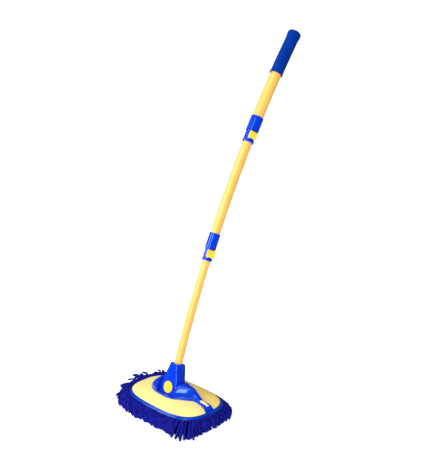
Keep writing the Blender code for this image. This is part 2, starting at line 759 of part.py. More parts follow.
def build_collar(name, collar, tube_radius, clamped_radius, rivet_station, material, origin):
    foot, step, head, foot_radius, head_radius = collar
    bevel = COLLAR_BEVEL
    profile = [
        (foot, foot_radius + COLLAR_LIP_PROUD - bevel / 2),
        (foot + bevel / 2, foot_radius + COLLAR_LIP_PROUD),
        (foot + COLLAR_LIP, foot_radius + COLLAR_LIP_PROUD),
        (foot + COLLAR_LIP + bevel, foot_radius),
        (step, foot_radius),
        (step, head_radius),
        (head - bevel, head_radius),
        (head, head_radius - bevel),
        (head, tube_radius + GAP),
        (step + COLLAR_LEDGE, tube_radius + GAP),
        (step + COLLAR_LEDGE, clamped_radius + GAP),
        (foot, clamped_radius + GAP),
    ]
    item = add_object(name, turned_along_handle(profile, closed_path=True), material, origin)
    frame = lever_frame(collar)
    inward = -(LEVER_HALF_THICKNESS + 2 * GAP + MM)
    half = LUG_HALF_WIDTH
    centre, outward, sideways, upward = frame
    rings = []
    for side in (-half, half):
        ring = [centre + outward * inward + sideways * side + upward * up for up in (LUG_RADIUS, -LUG_RADIUS)]
        for step in range(ROUND_END_STEPS + 1):
            angle = pi * step / ROUND_END_STEPS - pi / 2
            ring.append(centre + sideways * side + LUG_RADIUS * (outward * cos(angle) + upward * sin(angle)))
        rings.append(ring)
    combine(item, add_object(f"add_{name}_lug", skin(rings), material), "UNION")
    hole = lever_pin_mesh(collar, half + 2 * MM, LEVER_PIN_RADIUS + GAP)
    combine(item, add_object(f"cut_{name}_pin", hole, None))
    rivet = radial_cylinder(rivet_station, LEVER_AROUND + pi, foot_radius / 2, CUT_REACH, RIVET_RADIUS + GAP)
    combine(item, add_object(f"cut_{name}_rivet", rivet, None))
    return item


def build_lever(name, collar, material):
    """A rounded block that turns outward about the pin near its lower end."""
    frame = lever_frame(collar)
    centre, outward, sideways, upward = frame
    half = LEVER_HALF_THICKNESS
    top = LEVER_LENGTH - half
    soft = LEVER_CORNER
    edge = LEVER_EDGE
    turns = [pi + pi * k / ROUND_END_STEPS for k in range(ROUND_END_STEPS + 1)]
    side_view = [(half * cos(turn), half * sin(turn)) for turn in turns]
    side_view += [(half, top - soft), (half - soft / 3, top - soft / 3), (half - soft / 1.5, top)]
    side_view += [(-half, top)]
    rings = []
    for side, inset in (
        (-LEVER_HALF_WIDTH, edge),
        (-LEVER_HALF_WIDTH + edge, 0),
        (LEVER_HALF_WIDTH - edge, 0),
        (LEVER_HALF_WIDTH, edge),
    ):
        ring = []
        for out, up in side_view:
            shrink = 1 - inset / half
            raised = up * shrink if up < half else up - inset
            ring.append(centre + outward * out * shrink + sideways * side + upward * raised)
        rings.append(ring)
    lever = add_object(name, skin(rings), material, centre)
    width = LUG_HALF_WIDTH + GAP
    notch = block_mesh(frame, (-2 * half, NOTCH_DEPTH), (-width, width), (-2 * half, NOTCH_LENGTH))
    combine(lever, add_object(f"cut_{name}_notch", notch, None))
    hole = lever_pin_mesh(collar, LEVER_PIN_HALF + GAP, LEVER_PIN_RADIUS + GAP)
    combine(lever, add_object(f"cut_{name}_pin", hole, None))
    return lever


def build_lever_pin(name, collar, material, origin):
    return add_object(name, lever_pin_mesh(collar, LEVER_PIN_HALF, LEVER_PIN_RADIUS), material, origin)


# Grip


def build_grip(material):
    inner = UPPER_RADIUS + GAP
    foot, head = S_GRIP_FOOT, S_GRIP_HEAD
    ceiling = S_UPPER_TUBE_HEAD + GAP
    edge = GRIP_EDGE
    bend = [foot + (head - foot) * part for part in (0.37, 0.7)]
    profile = [
        (foot, GRIP_LIP_RADIUS - edge),
        (foot + edge, GRIP_LIP_RADIUS),
        (foot + GRIP_LIP, GRIP_LIP_RADIUS),
        (foot + GRIP_LIP + 2 * edge, GRIP_BODY_RADIUS),
        *((s, GRIP_BODY_RADIUS) for s in bend),
    ]
    profile += [(head - back, GRIP_END_RADIUS - inset) for back, inset in GRIP_END]
    profile += [(head, 0)]
    inside = [(ceiling, 0), (ceiling, inner)]
    inside += [(s, inner) for s in (bend[1], bend[0], foot)]
    return add_object("grip_sleeve", turned_along_handle(inside + profile), material, bend_origin())


def build_end_plug(material):
    radius = UPPER_RADIUS - TUBE_WALL - GAP
    profile = [(S_UPPER_TUBE_HEAD - END_PLUG_INSERT, radius), (S_UPPER_TUBE_HEAD, radius)]
    return add_object("tube_end_plug", turned_along_handle(profile), material, bend_origin())


def build_head(looks):
    build_pad(looks["yarn"])
    build_backing(looks["board"])
    build_frame(looks["blue"])
    build_cover(looks["yellow"])
    build_base(looks["blue"])
    build_pin(looks["steel"])
    build_pin_plug(looks["blue"])
    build_base_screws(looks["steel"])
    build_tab(looks["pale"])
    build_tab_spring(looks["steel"])


def build_socket_group(looks):
    build_socket(looks["blue"])
    build_button(looks["bright"])
    build_button_spring(looks["steel"])
    fixing = (S_TUBE_SCREW, -pi / 2)
    tube = looks["tube"]
    build_tube("lower_tube", S_TUBE_FOOT, S_LOWER_TUBE_HEAD, LOWER_RADIUS, tube, fixing, pivot_origin())
    surface = SOCKET_BACK - RIVET_HEAD
    build_rivet("tube_screw", *fixing, surface, TUBE_SCREW_DEPTH, looks["steel"], pivot_origin())
    build_guide("lower_guide", S_LOWER_TUBE_HEAD, LOWER_RADIUS, MIDDLE_RADIUS, looks["guide"], pivot_origin())


def build_middle_group(looks):
    origin = bend_origin()
    back = LEVER_AROUND + pi
    fixing = (S_LOWER_RIVET, back)
    tube, blue = looks["tube"], looks["blue"]
    build_tube("middle_tube", S_MIDDLE_TUBE_FOOT, S_MIDDLE_TUBE_HEAD, MIDDLE_RADIUS, tube, fixing, origin)
    build_guide("middle_guide", S_MIDDLE_TUBE_HEAD, MIDDLE_RADIUS, UPPER_RADIUS, looks["guide"], origin)
    build_collar("lower_collar", LOWER_COLLAR, MIDDLE_RADIUS, LOWER_RADIUS, S_LOWER_RIVET, blue, origin)
    surface = LOWER_COLLAR[4] + GAP
    build_rivet("lower_rivet", *fixing, surface, RIVET_DEPTH, looks["steel"], origin)
    build_lever_pin("lower_lever_pin", LOWER_COLLAR, looks["steel"], origin)
    build_lever("lower_lever", LOWER_COLLAR, looks["bright"])


def build_upper_group(looks):
    origin = bend_origin()
    back = LEVER_AROUND + pi
    fixing = (S_UPPER_RIVET, back)
    tube, blue = looks["tube"], looks["blue"]
    build_tube("upper_tube", S_UPPER_TUBE_FOOT, S_UPPER_TUBE_HEAD, UPPER_RADIUS, tube, fixing, origin)
    build_collar("upper_collar", UPPER_COLLAR, UPPER_RADIUS, MIDDLE_RADIUS, S_UPPER_RIVET, blue, origin)
    surface = UPPER_COLLAR[4] + GAP
    build_rivet("upper_rivet", *fixing, surface, RIVET_DEPTH, looks["steel"], origin)
    build_lever_pin("upper_lever_pin", UPPER_COLLAR, looks["steel"], origin)
    build_lever("upper_lever", UPPER_COLLAR, looks["bright"])
    build_grip(looks["grip"])
    build_end_plug(looks["guide"])


def build():
    clear_scene()
    looks = {
        "yarn": principled("navy_yarn", (0.012, 0.011, 0.19), 0.9),
        "board": principled("backing_board", (0.75, 0.75, 0.7), 0.8),
        "blue": principled("blue_plastic", (0.006, 0.06, 0.72), 0.25),
        "yellow": principled("cover_yellow", (0.95, 0.8, 0.25), 0.4),
        "bright": principled("bright_yellow", (0.95, 0.75, 0.06), 0.35),
        "pale": principled("pale_yellow", (0.85, 0.78, 0.45), 0.4),
        "tube": principled("painted_tube", (0.95, 0.62, 0.15), 0.35),
        "guide": principled("grey_plastic", (0.3, 0.3, 0.32), 0.5),
        "steel": principled("steel", (0.6, 0.6, 0.6), 0.3, 1.0),
        "grip": principled("blue_rubber", (0.004, 0.05, 0.35), 0.7),
    }
    build_head(looks)
    build_socket_group(looks)
    build_middle_group(looks)
    build_upper_group(looks)


build()
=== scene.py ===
"""Looks of the flat mop: yarn fringe, moulded plastic head, painted bent handle and rubber grip.

Everything is in metres in the part's own frame: +X along the head, -Y its front, +Z up.
The floor is at z = 0, and an angle round the head starts at +X and grows towards the back.
"""

import json
import random
from math import atan2, ceil, cos, pi, radians, sin, tau

import bmesh
import bpy
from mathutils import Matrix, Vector, noise


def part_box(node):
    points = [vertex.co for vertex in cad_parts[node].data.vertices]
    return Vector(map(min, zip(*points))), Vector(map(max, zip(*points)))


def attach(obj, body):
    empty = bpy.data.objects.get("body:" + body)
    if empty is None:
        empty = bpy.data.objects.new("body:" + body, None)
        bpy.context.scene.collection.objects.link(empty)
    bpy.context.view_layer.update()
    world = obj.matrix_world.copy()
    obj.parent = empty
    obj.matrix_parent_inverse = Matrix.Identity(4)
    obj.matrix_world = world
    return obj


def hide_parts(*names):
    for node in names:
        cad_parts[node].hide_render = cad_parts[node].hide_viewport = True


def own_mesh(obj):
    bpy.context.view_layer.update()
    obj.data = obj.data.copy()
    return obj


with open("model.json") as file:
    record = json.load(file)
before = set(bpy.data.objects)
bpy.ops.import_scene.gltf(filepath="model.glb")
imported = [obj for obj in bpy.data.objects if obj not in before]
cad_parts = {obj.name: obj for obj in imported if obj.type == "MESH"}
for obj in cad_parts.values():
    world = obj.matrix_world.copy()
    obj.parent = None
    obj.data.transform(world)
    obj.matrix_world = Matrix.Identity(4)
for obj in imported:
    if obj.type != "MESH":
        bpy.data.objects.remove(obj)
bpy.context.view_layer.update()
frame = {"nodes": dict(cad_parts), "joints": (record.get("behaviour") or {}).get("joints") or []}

MM = 0.001
SEED = 7
nodes = frame["nodes"]
joints = {joint["name"]: joint for joint in frame["joints"]}

# The handle's bend: every tube follows one arc about the slides' own axis
HINGE = Vector(joints["head_tilt"]["pos_m"])
BEND = Vector(joints["middle_slide"]["pos_m"])
BEND_RADIUS = (HINGE - BEND).length
HINGE_LEAN = atan2(HINGE.z - BEND.z, BEND.y - HINGE.y)
ROUND_SIDES = 72

# The head's outline, shared by rim, pad and fringe: a squared ellipse, a little wider at its right end
OUTLINE_POWER = 3.0
OUTLINE_EGG = 0.03
OUTLINE_SIDES = 160
rim_low, rim_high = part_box("rim_frame")
pad_low, pad_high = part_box("mop_pad")
RIM_HALF = (rim_high.x, (rim_high.y - rim_low.y) / 2)

# The pad's heights, and how far the pad and its pile stay inside the CAD pad's outline
PAD_BOTTOM = 6 * MM
PAD_TOP = 14.2 * MM
PAD_INSET = 26 * MM
PILE_INSET = 24 * MM
PILE_STEP = (9.5 * MM, 7 * MM)

# Yarn: its size, and how far it swells, roughens and twists along a strand
YARN_RADIUS = 2.75 * MM
YARN_SIDES = 8
YARN_RINGS = 13
YARN_SWELL = 0.09
YARN_ROUGHNESS = 0.14
YARN_LUMP = 2.2 * MM
YARN_TWIST = 1.3

# The line of the fringe's tips, squarer at the front right corner
FRINGE_FRONT = pad_high.y
FRINGE_LEFT = -pad_low.x
FRINGE_RIGHT = pad_high.x - 7 * MM
FRINGE_CORNER = -34
FRINGE_CORNER_WIDTH = 45
FRINGE_SQUARER = 7
FRINGE_FARTHEST = 80 * MM
HALVINGS = 20

# Middles of the clumps that stand up, in degrees round the left end
RUFFLED_CLUMPS = (214, 204, 195, 187, 180, 173, 167, 161, 154, 148, 142, 137)
STRANDS_IN_A_CLUMP = 5

# The grip: radii of lip, body and end, and the diamonds pressed into it
GRIP_LIP = 16.8 * MM
GRIP_BODY = 15.8 * MM
GRIP_END = 17.2 * MM
GRIP_SIDES = 168
DIAMOND_PITCH = 7 * MM
DIAMONDS_AROUND = 14
DIAMOND_DEPTH = 0.45 * MM
DIAMOND_GROOVE = 0.28
DIAMOND_FADE = 5 * MM

# The room's light, the plastic's grain, and the angle from which a CAD edge is rounded
WORLD_STRENGTH = 0.48
MOULD_GRAIN = 0.00003
SHARP_EDGE = radians(28)


# Meshes


def link(name, mesh, material, body, smooth_angle=40):
    """Makes an object of a bmesh, smooth but for edges sharper than smooth_angle, that moves with a body."""
    mesh.normal_update()
    bmesh.ops.recalc_face_normals(mesh, faces=mesh.faces)
    data = bpy.data.meshes.new(name)
    mesh.to_mesh(data)
    mesh.free()
    data.materials.append(material)
    data.shade_smooth()
    data.set_sharp_from_angle(angle=radians(smooth_angle))
    piece = bpy.data.objects.new(name, data)
    bpy.context.scene.collection.objects.link(piece)
    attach(piece, body)
    return piece


def skin_onto(mesh, rings, closed_path=False):
    """Adds a surface through rings of points. A ring of one point is a tip, and open ends are capped."""
    made = [[mesh.verts.new(point) for point in ring] for ring in rings]
    pairs = list(zip(made, made[1:]))
    if closed_path:
        pairs.append((made[-1], made[0]))
    for near, far in pairs:
        count = max(len(near), len(far))
        for index in range(count):
            after = (index + 1) % count
            corners = [near[index % len(near)], near[after % len(near)]]
            corners += [far[after % len(far)], far[index % len(far)]]
            mesh.faces.new(list(dict.fromkeys(corners)))
    if not closed_path:
        for end in (made[0], made[-1]):
            if len(end) > 1:
                mesh.faces.new(end)


def outline_point(angle, half, margin=0.0):
    """A point of the head's outline at height 0, for half sizes along X and Y."""
    along = abs(cos(angle) / (half[0] + margin)) ** OUTLINE_POWER
    across = abs(sin(angle) / (half[1] + margin)) ** OUTLINE_POWER
    reach = (along + across) ** (-1 / OUTLINE_POWER)
    x = reach * cos(angle)
    return Vector((x, reach * sin(angle) * (1 + OUTLINE_EGG * x / (half[0] + margin)), 0))


def nearness(angle, centre, width):
    """1 at the centre angle, falling to 0 at width to either side of it. Centre and width are in degrees."""
    away = abs((angle - radians(centre) + pi) % tau - pi)
    return max(0.0, 1 - (away / radians(width)) ** 2)


def reach_to_fringe_edge(base, outward):
    """How far it is from a point on the rim, straight outward, to the line of the yarn's tips."""
    half_x = FRINGE_RIGHT if base.x > 0 else FRINGE_LEFT
    corner = nearness(atan2(base.y, base.x), FRINGE_CORNER, FRINGE_CORNER_WIDTH)
    power = OUTLINE_POWER + FRINGE_SQUARER * corner
    near, far = 0.0, FRINGE_FARTHEST
    for _ in range(HALVINGS):
        middle = (near + far) / 2
        point = base + outward * middle
        if abs(point.x / half_x) ** power + abs(point.y / FRINGE_FRONT) ** power < 1:
            near = middle
        else:
            far = middle
    return near


def outline_ring(half, height, margin=0.0):
    """A ring of points along the outline, at one height."""
    ring = [outline_point(tau * k / OUTLINE_SIDES, half, margin) for k in range(OUTLINE_SIDES)]
    return [Vector((point.x, point.y, height)) for point in ring]


def even_angles(count):
    """Angles whose points on the rim are evenly spaced round the head."""
    fine = [tau * k / 2000 for k in range(2001)]
    points = [outline_point(angle, RIM_HALF) for angle in fine]
    reached = [0.0]
    for near, far in zip(points, points[1:]):
        reached.append(reached[-1] + (far - near).length)
    angles = []
    index = 0
    for k in range(count):
        wanted = reached[-1] * k / count
        while reached[index + 1] < wanted:
            index += 1
        angles.append(fine[index])
    return angles


# Handle coordinates


def handle_point(station, around=0.0, distance=0.0):
    """A point at a station up the bent handle, at an angle and a distance from its centreline."""
    lean = HINGE_LEAN + station / BEND_RADIUS
    outward = Vector((0, -cos(lean), sin(lean)))
    centre = BEND + outward * BEND_RADIUS
    return centre + Vector((1, 0, 0)) * distance * cos(around) + outward * distance * sin(around)


def handle_coordinates(point):
    """A point's station along the handle, its distance from the centreline and its angle round it."""
    flat = Vector((0, point.y - BEND.y, point.z - BEND.z))
    lean = atan2(flat.z, -flat.y)
    ahead = flat.length - BEND_RADIUS
    return (lean - HINGE_LEAN) * BEND_RADIUS, (ahead ** 2 + point.x ** 2) ** 0.5, atan2(ahead, point.x)


def turned_points(node):
    """The stations and radii of a CAD node's points."""
    found = [handle_coordinates(vertex.co) for vertex in nodes[node].data.vertices]
    return [(station, radius) for station, radius, _ in found]


def turned(name, profile, material, body, sides=ROUND_SIDES, closed_path=True, relief=None):
    """A round solid along the bent handle, whose radii relief may change by station and angle."""
    mesh = bmesh.new()
    rings = []
    for station, radius in profile:
        if radius == 0:
            rings.append([handle_point(station)])
            continue
        ring = []
        for k in range(sides):
            around = tau * k / sides
            raised = relief(station, around, radius) if relief else 0
            ring.append(handle_point(station, around, radius + raised))
        rings.append(ring)
    skin_onto(mesh, rings, closed_path)
    return link(name, mesh, material, body)


# Materials


class Shader:
    """A Principled material with the few nodes that every surface here needs."""

    def __init__(self, name, **values):
        self.material = bpy.data.materials.new(name)
        self.material.use_nodes = True
        self.tree = self.material.node_tree
        self.surface = self.tree.nodes["Principled BSDF"]
        for socket, value in values.items():
            self.surface.inputs[socket.replace("_", " ")].default_value = value
        self.place = self.tree.nodes.new("ShaderNodeTexCoord").outputs["Object"]
        self.normal = None

    def node(self, kind, inputs, **settings):
        made = self.tree.nodes.new(kind)
        for setting, value in settings.items():
            setattr(made, setting, value)
        for socket, value in inputs.items():
            if isinstance(value, bpy.types.NodeSocket):
                self.tree.links.new(value, made.inputs[socket])
            else:
                made.inputs[socket].default_value = value
        return made

    def noise(self, scale, detail=3.0, stretch=(1, 1, 1), distortion=0.0):
        mapping = self.node("ShaderNodeMapping", {"Vector": self.place, "Scale": stretch})
        inputs = {"Vector": mapping.outputs["Vector"], "Scale": scale, "Detail": detail}
        inputs["Distortion"] = distortion
        return self.node("ShaderNodeTexNoise", inputs).outputs["Fac"]

    def spread(self, factor, low, high, start=0.3, end=0.7):
        inputs = {"Value": factor, "From Min": start, "From Max": end, "To Min": low, "To Max": high}
        return self.node("ShaderNodeMapRange", inputs).outputs["Result"]

    def colour(self, factor, low, high, start=0.3, end=0.7):
        ramp = self.node("ShaderNodeValToRGB", {"Fac": factor})
        stops = ((start, low), (end, high))
        for element, (place, colour) in zip(ramp.color_ramp.elements, stops):
            element.position = place
            element.color = (*colour, 1)
        self.tree.links.new(ramp.outputs["Color"], self.surface.inputs["Base Color"])

    def roughness(self, factor, low, high):
        self.tree.links.new(self.spread(factor, low, high), self.surface.inputs["Roughness"])

    def bump(self, height, distance, strength=1.0):
        inputs = {"Height": height, "Distance": distance, "Strength": strength}
        bump = self.node("ShaderNodeBump", inputs)
        if self.normal is not None:
            self.tree.links.new(self.normal, bump.inputs["Normal"])
        self.normal = bump.outputs["Normal"]
        self.tree.links.new(self.normal, self.surface.inputs["Normal"])


def moulded(name, dark, light, rough, specular=0.3, tint=(1, 1, 1, 1)):
    """Injection-moulded plastic: slightly uneven colour, faint flow marks and a fine skin."""
    shader = Shader(name, Specular_IOR_Level=specular, Specular_Tint=tint)
    shader.colour(shader.noise(45, 4), dark, light)
    shader.roughness(shader.noise(160, 5), rough * 0.8, rough * 1.25)
    shader.bump(shader.noise(900, 2), MOULD_GRAIN)
    shader.bump(shader.noise(60, 2), MOULD_GRAIN * 3, 0.5)
    return shader.material


def cover_material():
    """Pale yellow plastic with a faint random mottle and painted shade: deeper orange towards the head's less
    lit right and back.
    """
    shader = Shader("cover_plastic", Specular_IOR_Level=0.25)
    # Painted shade: a slope growing towards +X and +Y turns the yellow deeper orange at the right and back
    axes = shader.node("ShaderNodeSeparateXYZ", {"Vector": shader.place}).outputs
    inputs = {0: axes["Y"], 1: 2.5, 2: axes["X"]}
    painted_shade_slant = shader.node("ShaderNodeMath", inputs, operation="MULTIPLY_ADD").outputs["Value"]
    inputs = {0: shader.noise(35, 3), 1: 0.03, 2: painted_shade_slant}
    mottle_and_painted_shade = shader.node("ShaderNodeMath", inputs, operation="MULTIPLY_ADD").outputs["Value"]
    painted_shade = shader.spread(mottle_and_painted_shade, 0, 1, 0.05, 0.24)
    shader.colour(painted_shade, (0.85, 0.72, 0.25), (0.84, 0.6, 0.12), 0, 1)
    shader.roughness(shader.noise(160, 5), 0.28, 0.42)
    shader.bump(shader.noise(900, 2), MOULD_GRAIN)
    return shader.material


def yarn_material(name, dark, light):
    """Chenille: short pile round a twisted core, with painted shade darker where the pile parts, on a random
    tone from tuft to tuft.
    """
    shader = Shader(name, Roughness=0.95, Specular_IOR_Level=0.1, Sheen_Weight=0.1, Sheen_Roughness=0.4)
    shader.surface.inputs["Sheen Tint"].default_value = (0.12, 0.14, 0.95, 1)
    shader.surface.inputs["Specular Tint"].default_value = (0.2, 0.2, 1, 1)
    pile = shader.noise(800, 6, distortion=0.4)
    tufts = shader.noise(140, 2)
    # Painted shade: the product of the two noises darkens the yarn in patches, standing in for shade where
    # the pile parts
    tone_and_painted_shade = shader.node("ShaderNodeMath", {0: pile, 1: tufts}, operation="MULTIPLY").outputs["Value"]
    shader.colour(tone_and_painted_shade, dark, light, 0.06, 0.38)
    shader.bump(shader.noise(700, 4), 0.0009)
    shader.bump(shader.noise(1800, 2), 0.0004)
    return shader.material


def tube_material():
    """Painted steel tube: a clear coat, a faint orange peel and fine rubbed lines along it."""
    shader = Shader("tube_paint", Coat_Weight=0.35, Coat_Roughness=0.12, Specular_IOR_Level=0.4)
    shader.colour(shader.noise(30, 3), (0.78, 0.425, 0.082), (0.83, 0.47, 0.1))
    shader.roughness(shader.noise(120, 4, (6, 1, 1)), 0.3, 0.45)
    shader.bump(shader.noise(420, 2), 0.00004)
    return shader.material


def rubber_material():
    """Dull blue rubber with a fine grain."""
    shader = Shader("grip_rubber", Specular_IOR_Level=0.12, Specular_Tint=(0.1, 0.3, 1, 1))
    shader.colour(shader.noise(60, 4), (0.0003, 0.021, 0.20), (0.0006, 0.030, 0.26))
    shader.roughness(shader.noise(300, 4), 0.62, 0.8)
    shader.bump(shader.noise(1500, 3), 0.00006)
    return shader.material


def steel_material():
    """Plated steel, a little worn."""
    shader = Shader("plated_steel", Metallic=1.0)
    shader.colour(shader.noise(80, 4), (0.5, 0.5, 0.51), (0.65, 0.65, 0.66))
    shader.roughness(shader.noise(500, 4), 0.22, 0.4)
    shader.bump(shader.noise(1200, 2), 0.00002)
    return shader.material


def board_material():
    """The pad's woven backing cloth."""
    shader = Shader("backing_cloth", Specular_IOR_Level=0.15)
    shader.colour(shader.noise(200, 4), (0.013, 0.012, 0.16), (0.03, 0.03, 0.26))
    shader.roughness(shader.noise(300, 3), 0.85, 0.95)
    inputs = {"Vector": shader.place, "Scale": 500.0}
    weave = shader.node("ShaderNodeTexWave", inputs, bands_direction="DIAGONAL")
    shader.bump(weave.outputs["Fac"], 0.0003)
    return shader.material


def floor_material():
    """A pale floor that glows a little, so that it runs into the white world behind it."""
    shader = Shader("floor", Roughness=0.9, Specular_IOR_Level=0.0, Emission_Strength=0.62)
    shader.surface.inputs["Emission Color"].default_value = (1, 1, 1, 1)
    shader.colour(shader.noise(2, 2), (0.93, 0.93, 0.93), (0.94, 0.94, 0.94))
    return shader.material


# Yarn fringe


def bezier(points, part):
    """A point on the Bezier curve with the given control points, by repeated mixing of neighbours."""
    points = list(points)
    while len(points) > 1:
        points = [near.lerp(far, part) for near, far in zip(points, points[1:])]
    return points[0]


def strand_onto(mesh, path, radius, draw, rings=YARN_RINGS, sides=YARN_SIDES):
    """One soft strand of pile yarn along a Bezier path, lumpy along its length, with a blunt tip."""
    phase = draw.uniform(0, tau)
    lumps = draw.uniform(2.5, 4.5)
    circles = []
    side = None
    for step in range(rings):
        part = step / (rings - 1)
        centre = bezier(path, part)
        ahead = (bezier(path, min(part + 0.02, 1)) - bezier(path, max(part - 0.02, 0))).normalized()
        if side is None:
            side = ahead.orthogonal().normalized()
        side = (side - ahead * side.dot(ahead)).normalized()
        other = ahead.cross(side)
        full = 1 + YARN_SWELL * sin(phase + lumps * tau * part)
        if step == 0:
            full *= 0.55
        circle = []
        for k in range(sides):
            angle = tau * k / sides + YARN_TWIST * part
            direction = side * cos(angle) + other * sin(angle)
            rough = 1 + YARN_ROUGHNESS * noise.noise((centre + direction * radius) / YARN_LUMP)
            circle.append(centre + direction * radius * full * rough)
        circles.append(circle)
    tip = bezier(path, 1)
    last = circles[-1]
    for forward, width in ((0.45, 0.86), (0.8, 0.5)):
        circles.append([tip + ahead * radius * forward + (point - tip) * width for point in last])
    circles.append([tip + ahead * radius])
    skin_onto(mesh, circles)


def lift_at(angle):
    """How far the fringe stands up, from 0 to 1: round the head's left end."""
    return nearness(angle, 172, 52)


def low_at(angle):
    """How far the fringe lies down, from 0 to 1: along the back, where the rim hides it."""
    return min(1.0, 1.8 * nearness(angle, 66, 74))


def rim_place(angle):
    """A point on the rim with the outward and sideways directions there."""
    base = outline_point(angle, RIM_HALF)
    tangent = (outline_point(angle + 0.01, RIM_HALF) - base).normalized()
    return base, Vector((tangent.y, -tangent.x, 0)), tangent


def fringe_layer(name, count, material, seed, root, shoulder, share, drop, radius=YARN_RADIUS):
    """A row of strands round the rim.

    Root, shoulder and drop are pairs of a distance out from the rim and a height, and drop's distance is a
    part of the strand's length. Share is the part of the way to the fringe's edge that the tips reach.
    """
    draw = random.Random(seed)
    mesh = bmesh.new()
    for angle in even_angles(count):
        angle += draw.uniform(-0.4, 0.4) * tau / count
        base, outward, tangent = rim_place(angle)
        lift, low = lift_at(angle), low_at(angle)
        sway = 7 * MM * noise.noise(base / (28 * MM) + Vector((seed, 0, 0))) + draw.gauss(0, 2.2 * MM)
        length = share * reach_to_fringe_edge(base, outward) * (1 + draw.gauss(0, 0.08)) * (1 - 0.08 * low)
        length += 6 * MM * lift * draw.random()
        places = (
            (root[0], root[1], 0.0),
            (shoulder[0], shoulder[1] + (4 * lift - 13 * low) * MM, 0.15),
            (length * drop[0], drop[1] + (11 * lift - 4 * low) * MM, 0.5),
            (length * 0.95, radius * 2.2 + 9 * MM * lift * draw.random(), 0.9),
            (length, radius * 1.2 + 13 * MM * lift * draw.random() ** 2, 1.0),
        )
        path = [base + outward * out + tangent * sway * part + Vector((0, 0, up)) for out, up, part in places]
        strand_onto(mesh, path, radius * draw.uniform(0.86, 1.08), draw)
    return link(name, mesh, material, "head", 80)


def ruffled_strands(material):
    """Strands that stand up in clumps round the head's left end."""
    draw = random.Random(SEED)
    mesh = bmesh.new()
    for place in RUFFLED_CLUMPS:
        for _ in range(STRANDS_IN_A_CLUMP):
            angle = radians(place + draw.gauss(0, 2.4))
            base, outward, tangent = rim_place(angle)
            lift = lift_at(angle)
            sway = draw.gauss(0, 6 * MM)
            length = draw.uniform(14, 33) * MM
            rise = lift * draw.uniform(0.5, 1.4)
            places = (
                (-4 * MM, 18 * MM),
                (7 * MM, (26 + 10 * rise) * MM),
                (length * 0.55, (14 + 17 * rise) * MM),
                (length * 0.85, (8 + 17 * rise) * MM),
                (length, (6 + 18 * rise) * MM),
            )
            path = [
                base + outward * out + tangent * sway * (out / length) ** 2 + Vector((0, 0, up))
                for out, up in places
            ]
            strand_onto(mesh, path, YARN_RADIUS * draw.uniform(0.8, 1.0), draw, rings=14)
    return link("fringe_ruffled", mesh, material, "head", 80)


def pad_core(material):
    """The stitched pad that the strands are sewn to."""
    mesh = bmesh.new()
    half = (pad_high.x - PAD_INSET, pad_high.y - PAD_INSET)
    bottom, top = Vector((0, 0, PAD_BOTTOM)), Vector((0, 0, PAD_TOP))
    rings = [[bottom]]
    for share in (0.4, 0.8):
        rings.append([point * share + bottom for point in outline_ring(half, 0)])
    for height, margin in ((6, -3), (7, -0.8), (9.5, 0), (12, -0.8), (14, -3)):
        rings.append(outline_ring(half, height * MM, margin * MM))
    for share in (0.8, 0.4):
        rings.append([point * share + top for point in outline_ring(half, 0)])
    rings.append([top])
    skin_onto(mesh, rings)
    core = link("pad_core", mesh, material, "head", 60)
    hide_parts("mop_pad")
    return core


def pad_pile(material):
    """The pad's working face: short strands of the same yarn, lying in rows."""
    draw = random.Random(SEED + 1)
    mesh = bmesh.new()
    step_x, step_y = PILE_STEP
    half = (pad_high.x - PILE_INSET, pad_high.y - PILE_INSET)
    rows = ceil(half[1] / step_y)
    columns = ceil(half[0] / step_x)
    for row in range(-rows, rows + 1):
        for column in range(-columns, columns + 1):
            centre = Vector((column * step_x + (row % 2) * step_x / 2, row * step_y, 0))
            centre += Vector((draw.gauss(0, 1), draw.gauss(0, 1), 0)) * MM
            inside = abs(centre.x / half[0]) ** OUTLINE_POWER + abs(centre.y / half[1]) ** OUTLINE_POWER
            if inside > 1:
                continue
            heading = draw.gauss(0, 0.5)
            reach = Vector((cos(heading), sin(heading), 0)) * draw.uniform(8, 11) * MM
            low = YARN_RADIUS * 1.12
            path = [
                centre - reach * 0.5 + Vector((0, 0, 6.5 * MM)),
                centre - reach * 0.3 + Vector((0, 0, low)),
                centre + reach * 0.6 + Vector((0, 0, low)),
                centre + reach + Vector((0, 0, low)),
            ]
            strand_onto(mesh, path, YARN_RADIUS * draw.uniform(0.9, 1.05), draw, rings=6, sides=6)
    return link("pad_pile", mesh, material, "head", 80)


def build_fringe():
    """The fringe's layers, its ruffled strands, the pile under the pad and the pad."""
    yarn = yarn_material("navy_yarn", (0.0009, 0.0012, 0.04), (0.012, 0.0145, 0.32))
    # Painted shade: a darker copy of the same yarn, for the under layer of the fringe and the pad's pile
    shaded_yarn = yarn_material("navy_yarn_painted_shade", (0.0006, 0.0008, 0.025), (0.006, 0.007, 0.17))
    root = (-4 * MM, 19 * MM)
    under = (-10 * MM, 11 * MM)
    layers = (
        ("fringe_top", 150, yarn, 11, root, (6 * MM, 34 * MM), 0.93, (0.62, 15 * MM)),
        ("fringe_middle", 150, yarn, 23, root, (6 * MM, 24 * MM), 1.0, (0.7, 11 * MM)),
        ("fringe_under", 130, shaded_yarn, 37, under, (3 * MM, 12 * MM), 0.82, (0.6, 5 * MM)),
    )
    for layer in layers:
        piece = fringe_layer(*layer)
    ruffled_strands(yarn)
    pad_pile(shaded_yarn)
    pad_core(board_material())


# Handle pieces


